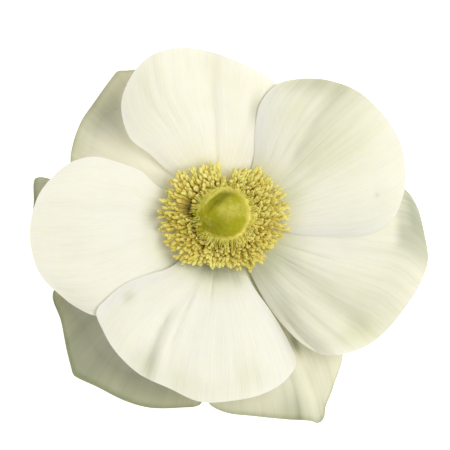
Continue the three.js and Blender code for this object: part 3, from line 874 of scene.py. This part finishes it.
class ANEMONE_OT_inner_tepals(bpy.types.Operator):
    """Build the five broad inner tepals"""

    bl_idname = "anemone.inner_tepals"
    bl_label = "Inner tepals"

    def execute(self, context):
        face = tepal_finish("petal_white_face", False, 0.2)
        back = tepal_finish("petal_white_back", True)
        for name, tepal in INNER_TEPALS.items():
            tepal_piece(name, {**USUAL_INNER, **tepal}, face, back)
        return {"FINISHED"}


class ANEMONE_OT_outer_tepals(bpy.types.Operator):
    """Build the six drooping outer tepals"""

    bl_idname = "anemone.outer_tepals"
    bl_label = "Outer tepals"

    def execute(self, context):
        face = tepal_finish("petal_shaded_face", False)
        back = tepal_finish("petal_shaded_back", True)
        for name, tepal in OUTER_TEPALS.items():
            tepal_piece(name, {**USUAL_OUTER, **tepal}, face, back)
        return {"FINISHED"}


# Stamens

def anther_template():
    """One two-lobed anther, upright and a unit long."""
    deselect()
    bpy.ops.mesh.primitive_uv_sphere_add(segments=8, ring_count=6, radius=0.5)
    piece = start_piece("anther")
    shape = coordinates(piece.data)
    across = np.abs(shape[:, 0]) / 0.5
    shape[:, 0] *= ANTHER["width"]
    shape[:, 1] *= ANTHER["thin"] + ANTHER["lobes"] * np.clip(across * 1.6, 0, 1)
    ends = np.clip(1 - np.abs(shape[:, 2]) * 2, 0, 1)
    shape[:, 0] *= 0.8 + 0.35 * np.sqrt(ends)
    place(piece.data, shape)
    return piece


def filament_template():
    """A rod a unit long and a unit in radius, in four lengths."""
    deselect()
    bpy.ops.mesh.primitive_cylinder_add(
        vertices=5, radius=1, depth=1, location=(0, 0, 0.5), end_fill_type="NGON",
    )
    piece = settle(start_piece("filament"))
    bpy.ops.object.mode_set(mode="EDIT")
    for height in (0.25, 0.5, 0.75):
        bpy.ops.mesh.select_all(action="SELECT")
        bpy.ops.mesh.bisect(plane_co=(0, 0, height), plane_no=(0, 0, 1))
    bpy.ops.object.mode_set(mode="OBJECT")
    return piece


def copy_of(template, name, shape, tone):
    mesh = template.data.copy()
    mesh.name = name
    place(mesh, shape)
    store(mesh, "tone", np.full(len(mesh.vertices), tone))
    piece = bpy.data.objects.new(name, mesh)
    bpy.context.collection.objects.link(piece)
    return piece


def anther_tone(direction, out, random_draw):
    """How pale an anther is: paler on two sides, and with painted light on the side the light
    falls from and beside the head, where the stamens shade each other.
    """
    on_pale_side = sum(bell((direction - side) / spread) for side, spread in PALE_SIDES)
    facing_light = 0.5 + 0.5 * np.cos(np.radians(direction - LIGHT_FROM))
    tone = random_draw.uniform(*STAMEN_DRAWS["tone"]) + ANTHER_TONE["out"] * out
    tone += ANTHER_TONE["light"] * facing_light
    tone += ANTHER_TONE["pale_side"] * out * on_pale_side
    return float(tone + ANTHER_TONE["inmost"] * bell(out / INMOST_REACH))


def stalk_shape(template, root, neck, along, sideways):
    """The rod bent from its root in the collar to the neck of its anther."""
    thick = bpy.context.scene.bloom_sizes.filament / MM
    bend = root.lerp(neck, 0.55) + Vector((0, 0, 0.7))
    rod = coordinates(template.data)
    share = np.clip(rod[:, 2:3], 0, 1)
    line = ((1 - share) ** 2 * np.array(root) + 2 * share * (1 - share) * np.array(bend)
            + share ** 2 * np.array(neck))
    side = np.array(sideways)
    up = np.array(along.cross(sideways).normalized())
    return line + rod[:, :1] * side * thick + rod[:, 1:2] * up * thick


def stamen(direction, out, height, spin, templates, random_draw):
    """One stamen: its anther and its bent stalk, as two pieces."""
    anther, filament = templates
    length = bpy.context.scene.bloom_sizes.anther / MM
    length *= random_draw.uniform(*STAMEN_DRAWS["length"])
    reach = Vector((*polar(1, direction), 0))
    sideways = Vector((*polar(1, direction + 90), 0))
    full = math.hypot(RING_REACH[0] * reach.x, RING_REACH[1] * reach.y)
    for swell, extra in RING_SWELLS:
        full += extra * float(bell((direction - swell) / SWELL_SPREAD))
    lean = ANTHER_LEAN["inner"] + ANTHER_LEAN["more"] * out
    radius = RING_INNER + (full - length / 2 * math.sin(lean) - RING_INNER) * out
    root_inner = COLLAR["inner"] + COLLAR["inset"]
    root_outer = COLLAR["outer"] - COLLAR["inset"]
    root = reach * (root_inner + (root_outer - root_inner) * out)
    root.z = SEAT + COLLAR["height"] / 2
    middle = reach * radius
    middle.z = height
    along = reach * math.sin(lean) + sideways * spin + Vector((0, LEAN_TO_TOP, 0))
    along.z = math.cos(lean)
    along.normalize()
    twist = random_draw.uniform(*STAMEN_DRAWS["twist"])
    turn = along.to_track_quat("Z", "Y") @ Matrix.Rotation(twist, 3, "Z").to_quaternion()
    centre = Vector((AXIS.x / MM + RING_CENTRE[0], AXIS.y / MM + RING_CENTRE[1], 0))
    body = coordinates(anther.data) * length
    turned = body @ np.array(turn.to_matrix()).T + np.array(middle + centre)
    tone = anther_tone(direction, out, random_draw)
    neck = middle - along * length * 0.42
    stalk = stalk_shape(filament, root, neck, along, sideways) + np.array(centre)
    # Stalks in the hollow are painted darker, as shade in the deep gap.
    lit = 1 - 0.55 * float(bell((direction - HOLLOW["direction"]) / HOLLOW["half_width"]))
    return [
        copy_of(anther, "anther", turned * MM, tone),
        copy_of(filament, "filament", stalk * MM, lit),
    ]


def collar_piece(skin):
    """A low felt ring that the stalks stand in, painted darker than the stalks and darkest
    in the hollow, as painted shade.
    """
    deselect()
    bpy.ops.mesh.primitive_torus_add(
        major_radius=(COLLAR["inner"] + COLLAR["outer"]) / 2 * MM, major_segments=64,
        minor_radius=COLLAR["height"] / 2 * MM, minor_segments=12,
        location=(AXIS.x + RING_CENTRE[0] * MM, AXIS.y + RING_CENTRE[1] * MM,
                  (SEAT + COLLAR["height"] / 2) * MM),
    )
    collar = settle(start_piece("collar"))
    collar.data.materials.append(skin)
    felt = coordinates(collar.data)
    low = felt[:, 2].min()
    felt[:, 2] = low + COLLAR["felt"] / COLLAR["height"] * (felt[:, 2] - low)
    place(collar.data, felt)
    turn = np.degrees(np.arctan2(felt[:, 1] - AXIS.y, felt[:, 0] - AXIS.x)) % 360
    store(collar.data, "tone", 0.6 - 0.6 * bell((turn - HOLLOW["direction"]) / 20))
    return collar


class ANEMONE_OT_stamens(bpy.types.Operator):
    """Build the ring of stamens on its collar"""

    bl_idname = "anemone.stamens"
    bl_label = "Stamens"

    def execute(self, context):
        sizes, colours = context.scene.bloom_sizes, context.scene.bloom_colours
        gold, pollen = tuple(colours.gold), tuple(colours.pollen)
        stalk = tuple(colours.filament)
        anther_skin = grainy_finish("anther_gold", gold, pollen, 3500, 0.00012, 0.75)
        # The stalks' first colour is a shaded copy of their own, for the painted shade in the
        # hollow and on the collar.
        stalk_skin = grainy_finish("filament_pale", shade_of(stalk, 0.3), stalk, 900,
                                   0.00004, 0.6, 0.1)
        templates = (anther_template(), filament_template())
        templates[0].data.materials.append(anther_skin)
        templates[1].data.materials.append(stalk_skin)
        draw = random.Random(STAMEN_SEED)
        tufts = TUFTS["count"]
        tuft_reach = [draw.uniform(*STAMEN_DRAWS["tuft"]) for _ in range(tufts)]
        ring_edge = sum(RING_REACH) / 2
        pieces = []
        for n in range(sizes.stamens):
            share = (n + 0.5) / sizes.stamens
            direction = (n * GOLDEN_ANGLE + draw.uniform(*STAMEN_DRAWS["turn"])) % 360
            tuft = round(direction * tufts / 360)
            pull = (tuft * 360 / tufts - direction) * TUFTS["pull"]
            reach = math.sqrt(RING_INNER ** 2 + share * (ring_edge ** 2 - RING_INNER ** 2))
            out = (reach - RING_INNER) / (ring_edge - RING_INNER)
            out = out * tuft_reach[tuft % tufts] + draw.uniform(*STAMEN_DRAWS["out"])
            out = min(max(out, 0), 1.08)
            direction += pull * out
            top = ANTHER_HEIGHT["inner"] - ANTHER_HEIGHT["fall"] * out * out
            dip = ANTHER_HEIGHT["dip"] * bell(out / ANTHER_HEIGHT["dip_reach"])
            height = top - dip + draw.uniform(*STAMEN_DRAWS["height"])
            spin = draw.uniform(*STAMEN_DRAWS["spin"])
            half_gap = PARTING["inner"] + PARTING["more"] * out
            parted = abs(direction - PARTING["direction"]) < half_gap
            in_hollow = abs(direction - HOLLOW["direction"]) < HOLLOW["half_width"]
            if parted or (in_hollow and out < HOLLOW["until"]):
                continue
            pieces += stamen(direction, out, height, spin, templates, draw)
        for template in templates:
            bpy.data.objects.remove(template)
        ring = joined([collar_piece(stalk_skin), *pieces], "stamen_ring")
        smooth(ring, 60)
        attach(ring, "root")
        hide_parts("stamens")
        return {"FINISHED"}


# Pistil head

def pistil_finish():
    colours = bpy.context.scene.bloom_colours
    deep, pale = tuple(colours.pistil), tuple(colours.lip)
    finish = Finish("pistil_velvet", deep)
    share = finish.attribute("tone")
    down = finish.noise(2600, 4)
    patches = finish.noise(420, 3)
    share = finish.sum_of(share, finish.between(patches, 0.35, 0.7, -0.15, 0.15))
    share = finish.sum_of(share, finish.between(down, 0.35, 0.7, -0.06, 0.08))
    skin = finish.mix(share, deep, pale)
    # The shade attribute paints shade, towards a dark copy of the pistil colour.
    finish.colour(finish.mix(finish.attribute("shade"), skin, shade_of(deep, 0.4)))
    finish.bump(down, 0.00008)
    finish.set(Roughness=0.7, Specular_IOR_Level=0.15, Sheen_Weight=0.01, Sheen_Roughness=0.4,
               Subsurface_Weight=0.2, Subsurface_Scale=0.0008)
    return finish.material


def carpel_relief(direction):
    """How far the carpels' tips stand out at each direction, from 0 to 1."""
    n = np.arange(CARPELS["count"])
    up = 1 - (n + 0.5) / CARPELS["count"]
    turn = np.radians(n * GOLDEN_ANGLE)
    flat = np.sqrt(1 - up * up)
    tips = np.column_stack([flat * np.cos(turn), flat * np.sin(turn), up])
    nearest = np.max(direction @ tips.T, axis=1)
    gap = np.arccos(np.clip(nearest, -1, 1))
    return np.clip(1 - (gap / CARPELS["reach"]) ** 2, 0, 1)


def head_height(plan):
    """The head's height over its seat at a place in plan."""
    level = np.linalg.norm(plan / np.array(HEAD_RADIUS), axis=-1) ** 1.25
    return PISTIL_HEIGHT * np.clip(1 - level ** 2, 0, 1) ** (HEAD_BLUNTNESS / 2)


def spot(plan, centre, reach, strength):
    """A soft spot on the head, its strength at each place in plan."""
    across, up = ((plan[:, n] - centre[n]) / reach[n] for n in (0, 1))
    return strength * bell(across) * bell(up)


def dome_piece():
    """The head: a green middle with a deep crease, inside a paler rim."""
    sizes = bpy.context.scene.bloom_sizes
    deselect()
    bpy.ops.mesh.primitive_uv_sphere_add(segments=144, ring_count=96, radius=1)
    piece = start_piece("pistil_dome")
    bpy.ops.object.mode_set(mode="EDIT")
    bpy.ops.mesh.select_all(action="SELECT")
    bpy.ops.mesh.bisect(plane_co=(0, 0, 0), plane_no=(0, 0, 1), clear_inner=True, use_fill=True)
    bpy.ops.object.mode_set(mode="OBJECT")
    unit = coordinates(piece.data)
    level = np.linalg.norm(unit[:, :2], axis=1)
    climb = np.clip(unit[:, 2], 0, 1)
    wide = (np.maximum(level, 1e-6) ** -0.2)[:, None]
    relief = carpel_relief(unit) * sizes.carpel / MM
    plan = unit[:, :2] * wide * np.array(HEAD_RADIUS) + unit[:, :2] * relief[:, None]
    bend_centre = polar(CREASE["distance"] - CREASE["bend"], CREASE["direction"])
    distance = np.linalg.norm(plan - bend_centre, axis=1) - CREASE["bend"]
    along = plan @ polar(1, CREASE["direction"] - 90)
    from_middle = np.abs(along - CREASE["middle"]) / CREASE["half_length"]
    ends = (1 - np.clip(from_middle, 0, 1) ** 3) * (0.85 + 0.1 * along)
    groove = bell(distance / CREASE["width"]) * ends
    from_green = (plan - np.array(GREEN_PART["centre"])) / np.array(GREEN_PART["reach"])
    out = np.linalg.norm(from_green, axis=1)
    beyond = eased(distance, *LIP_FROM)
    rim = np.maximum(eased(out, *RIM_FROM), 0.8 * beyond)
    sunk = RIM_GROOVE["depth"] * bell((out - RIM_GROOVE["at"]) / RIM_GROOVE["width"])
    rise = climb ** HEAD_BLUNTNESS
    z = SEAT + (PISTIL_HEIGHT + relief - sunk) * rise - CREASE["depth"] * groove * rise
    x = plan[:, 0] + HEAD_CENTRE[0] + AXIS.x / MM
    y = plan[:, 1] + HEAD_CENTRE[1] + AXIS.y / MM
    place(piece.data, np.column_stack([x, y, z]) * MM)
    # Painted highlights on the right of the head; painted shade in the crease and at the lower
    # left; the rim duller where it is painted in shade.
    light = sum(spot(plan, *values) for values in HEAD_PAINTED_HIGHLIGHTS)
    dark = 0.62 * groove + spot(plan, *HEAD_SHADE)
    turn = np.degrees(np.arctan2(plan[:, 1], plan[:, 0]))
    store(piece.data, "tone", np.clip(light + (0.9 - rim_shade(turn)) * rim, 0, 1))
    store(piece.data, "shade", np.clip(dark * (1 - rim), 0, 1))
    return piece


def rim_shade(turn):
    """How much painted shade dulls the head's pale rim in each direction, most of all on the
    left; below 0 it is painted light.
    """
    turn = turn % 360
    return sum(strength * bell((turn - side) / spread) for side, spread, strength in RIM_PAINTED_SHADE)


def fringe_pieces():
    """Short pale styles on the rim, with fewer of them at the top."""
    deselect()
    bpy.ops.mesh.primitive_cone_add(
        vertices=5, radius1=STYLES["foot"], radius2=STYLES["tip"], depth=1, location=(0, 0, 0.5),
    )
    template = settle(start_piece("style"))
    draw = random.Random(STYLE_SEED)
    shape = coordinates(template.data)
    pieces = []
    for n in range(STYLES["count"]):
        direction = n * GOLDEN_ANGLE % 360
        out = draw.uniform(0, 1)
        near_bottom = bell((direction - LONGER_STYLES["direction"]) / LONGER_STYLES["spread"])
        longer = 1 + LONGER_STYLES["more"] * near_bottom
        length = draw.uniform(*STYLE_DRAWS["length"]) * longer
        at_top = FEWER_STYLES["from"] < direction < FEWER_STYLES["to"]
        if at_top and draw.uniform(0, 1) < FEWER_STYLES["left_out"]:
            continue
        level = STYLES["inner"] + STYLES["band"] * out
        plan = polar(1, direction) * np.array(HEAD_RADIUS) * level
        lean = draw.uniform(*STYLE_DRAWS["lean"]) + 0.5 * out
        root = Vector((*plan, SEAT + head_height(plan) - 0.2))
        lean_to = direction + draw.uniform(*STYLE_DRAWS["turn"])
        reach = Vector((*polar(math.sin(lean), lean_to), math.cos(lean)))
        turn = np.array(reach.to_track_quat("Z", "Y").to_matrix())
        centre = np.array(root) + np.array([
            AXIS.x / MM + HEAD_CENTRE[0], AXIS.y / MM + HEAD_CENTRE[1], 0])
        scaled = shape * np.array([1, 1, length])
        # The styles take the rim's painted shade.
        tone = draw.uniform(*STYLE_DRAWS["tone"]) - rim_shade(direction)
        style = copy_of(template, "style", (scaled @ turn.T + centre) * MM, tone)
        store(style.data, "shade", np.zeros(len(shape)))
        pieces.append(style)
    bpy.data.objects.remove(template)
    return pieces


class ANEMONE_OT_pistil(bpy.types.Operator):
    """Build the round pistil head with its carpels, crease and collar of styles"""

    bl_idname = "anemone.pistil"
    bl_label = "Pistil head"

    def execute(self, context):
        skin = pistil_finish()
        pieces = [dome_piece(), *fringe_pieces()]
        for piece in pieces:
            piece.data.materials.append(skin)
        head = joined(pieces, "pistil_head")
        smooth(head, 70)
        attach(head, "root")
        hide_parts("pistil")
        return {"FINISHED"}


# Stem and receptacle

class ANEMONE_OT_stem(bpy.types.Operator):
    """Build the cut stub of stem and the receptacle on it"""

    bl_idname = "anemone.stem"
    bl_label = "Stem"

    def execute(self, context):
        colours = context.scene.bloom_colours
        neck = STEM_END + STEM_LENGTH
        deselect()
        bpy.ops.mesh.primitive_circle_add(
            vertices=72, radius=CUT_RADIUS * MM, fill_type="NGON",
            location=(AXIS.x, AXIS.y, STEM_END * MM),
        )
        piece = settle(start_piece("stem_stub"))
        rings = [
            (STEM_RADIUS, STEM_END + 0.3), (STEM_RADIUS * 1.03, neck - 0.8),
            (STEM_RADIUS * 1.5, neck), (RECEPTACLE_RADIUS * 0.7, neck + 1),
            (RECEPTACLE_RADIUS * 0.94, neck + 1.5), (RECEPTACLE_RADIUS, neck + 2),
            (RECEPTACLE_RADIUS, RECEPTACLE_TOP - 0.2),
            (RECEPTACLE_RADIUS - 0.3, RECEPTACLE_TOP),
        ]
        bpy.ops.object.mode_set(mode="EDIT")
        bpy.ops.mesh.select_all(action="SELECT")
        radius, level = CUT_RADIUS, STEM_END
        for new_radius, new_level in rings:
            bpy.ops.mesh.extrude_region_move(
                TRANSFORM_OT_translate={"value": (0, 0, (new_level - level) * MM)},
            )
            grow = new_radius / radius
            bpy.ops.transform.resize(
                value=(grow, grow, 1), center_override=(AXIS.x, AXIS.y, new_level * MM),
            )
            radius, level = new_radius, new_level
        bpy.ops.mesh.select_all(action="SELECT")
        bpy.ops.mesh.normals_make_consistent(inside=False)
        bpy.ops.object.mode_set(mode="OBJECT")
        shape = coordinates(piece.data)
        offset = shape[:, :2] - np.array([AXIS.x, AXIS.y])
        angle = np.arctan2(offset[:, 1], offset[:, 0])
        ribs = 1 + STEM_RIBS["depth"] * np.cos(angle * STEM_RIBS["count"])
        shape[:, :2] = np.array([AXIS.x, AXIS.y]) + offset * np.minimum(ribs, 1)[:, None]
        place(piece.data, shape)
        store(piece.data, "tone", eased(shape[:, 2] / MM, RECEPTACLE_TOP - 1.5, RECEPTACLE_TOP))
        smooth(piece, 35)
        green = tuple(colours.stem)
        piece.data.materials.append(
            grainy_finish("stem_green", green, tuple(colours.filament), 700, 0.0001, 0.55, 0.05),
        )
        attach(piece, "root")
        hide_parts("stem")
        return {"FINISHED"}


# Stage

class ANEMONE_OT_stage(bpy.types.Operator):
    """Set the pale floor, the soft light and the camera"""

    bl_idname = "anemone.stage"
    bl_label = "Stage"

    def execute(self, context):
        scene = context.scene
        scene.view_settings.view_transform = "Standard"
        self.floor(tuple(scene.bloom_colours.floor))
        self.world()
        self.area("key", KEY_LIGHT["place"], KEY_LIGHT["size"], KEY_LIGHT["power"])
        self.camera()
        return {"FINISHED"}

    def floor(self, white):
        deselect()
        bpy.ops.mesh.primitive_plane_add(size=6, location=(0, 0, 0))
        floor = start_piece("floor")
        finish = Finish("floor_white", white)
        finish.set(Base_Color=(*white, 1), Roughness=0.9, Specular_IOR_Level=0.1)
        finish.set(Emission_Color=(*white, 1), Emission_Strength=FLOOR_GLOW)
        floor.data.materials.append(finish.material)

    def world(self):
        world = bpy.data.worlds.new("studio")
        world.use_nodes = True
        background = world.node_tree.nodes["Background"]
        background.inputs["Color"].default_value = (1, 1, 1, 1)
        background.inputs["Strength"].default_value = SKY_STRENGTH
        bpy.context.scene.world = world

    def area(self, name, position, size, power):
        light = bpy.data.lights.new(name, "AREA")
        light.size = size
        light.energy = power
        lamp = bpy.data.objects.new(name, light)
        lamp.location = position
        lamp.rotation_euler = (Vector((0, 0, 0.01)) - lamp.location).to_track_quat(
            "-Z", "Y").to_euler()
        bpy.context.collection.objects.link(lamp)

    def camera(self):
        """Straight above, far off, with 90 mm of the bloom across its view."""
        data = bpy.data.cameras.new("camera")
        data.sensor_width = 36
        data.lens = data.sensor_width * CAMERA["distance"] / CAMERA["across"]
        data.clip_start = 0.01
        data.clip_end = 20
        camera = bpy.data.objects.new("camera", data)
        camera.location = (AXIS.x + CAMERA["centre"][0], AXIS.y + CAMERA["centre"][1],
                           CAMERA["level"] + CAMERA["distance"])
        bpy.context.collection.objects.link(camera)
        bpy.context.scene.camera = camera


PIECE_OPERATORS = (
    ANEMONE_OT_inner_tepals, ANEMONE_OT_outer_tepals, ANEMONE_OT_stamens,
    ANEMONE_OT_pistil, ANEMONE_OT_stem, ANEMONE_OT_stage,
)


class ANEMONE_PT_panel(bpy.types.Panel):
    """Lists the pieces of the bloom and their sizes and colours"""

    bl_idname = "ANEMONE_PT_panel"
    bl_label = "White anemone"
    bl_space_type = "VIEW_3D"
    bl_region_type = "UI"
    bl_category = "Anemone"

    def draw(self, context):
        layout = self.layout
        for group in (context.scene.bloom_sizes, context.scene.bloom_colours):
            for key in group.bl_rna.properties.keys():
                if key not in ("rna_type", "name"):
                    layout.prop(group, key)
        for operator in PIECE_OPERATORS:
            layout.operator(operator.bl_idname)


CLASSES = (BloomSizes, BloomColours, *PIECE_OPERATORS, ANEMONE_PT_panel)


def register():
    for entry in CLASSES:
        bpy.utils.register_class(entry)
    bpy.types.Scene.bloom_sizes = PointerProperty(type=BloomSizes)
    bpy.types.Scene.bloom_colours = PointerProperty(type=BloomColours)


def unregister():
    del bpy.types.Scene.bloom_colours
    del bpy.types.Scene.bloom_sizes
    for entry in reversed(CLASSES):
        bpy.utils.unregister_class(entry)


def main():
    register()
    bpy.ops.anemone.inner_tepals()
    bpy.ops.anemone.outer_tepals()
    bpy.ops.anemone.stamens()
    bpy.ops.anemone.pistil()
    bpy.ops.anemone.stem()
    bpy.ops.anemone.stage()


if __name__ == "__main__":
    main()
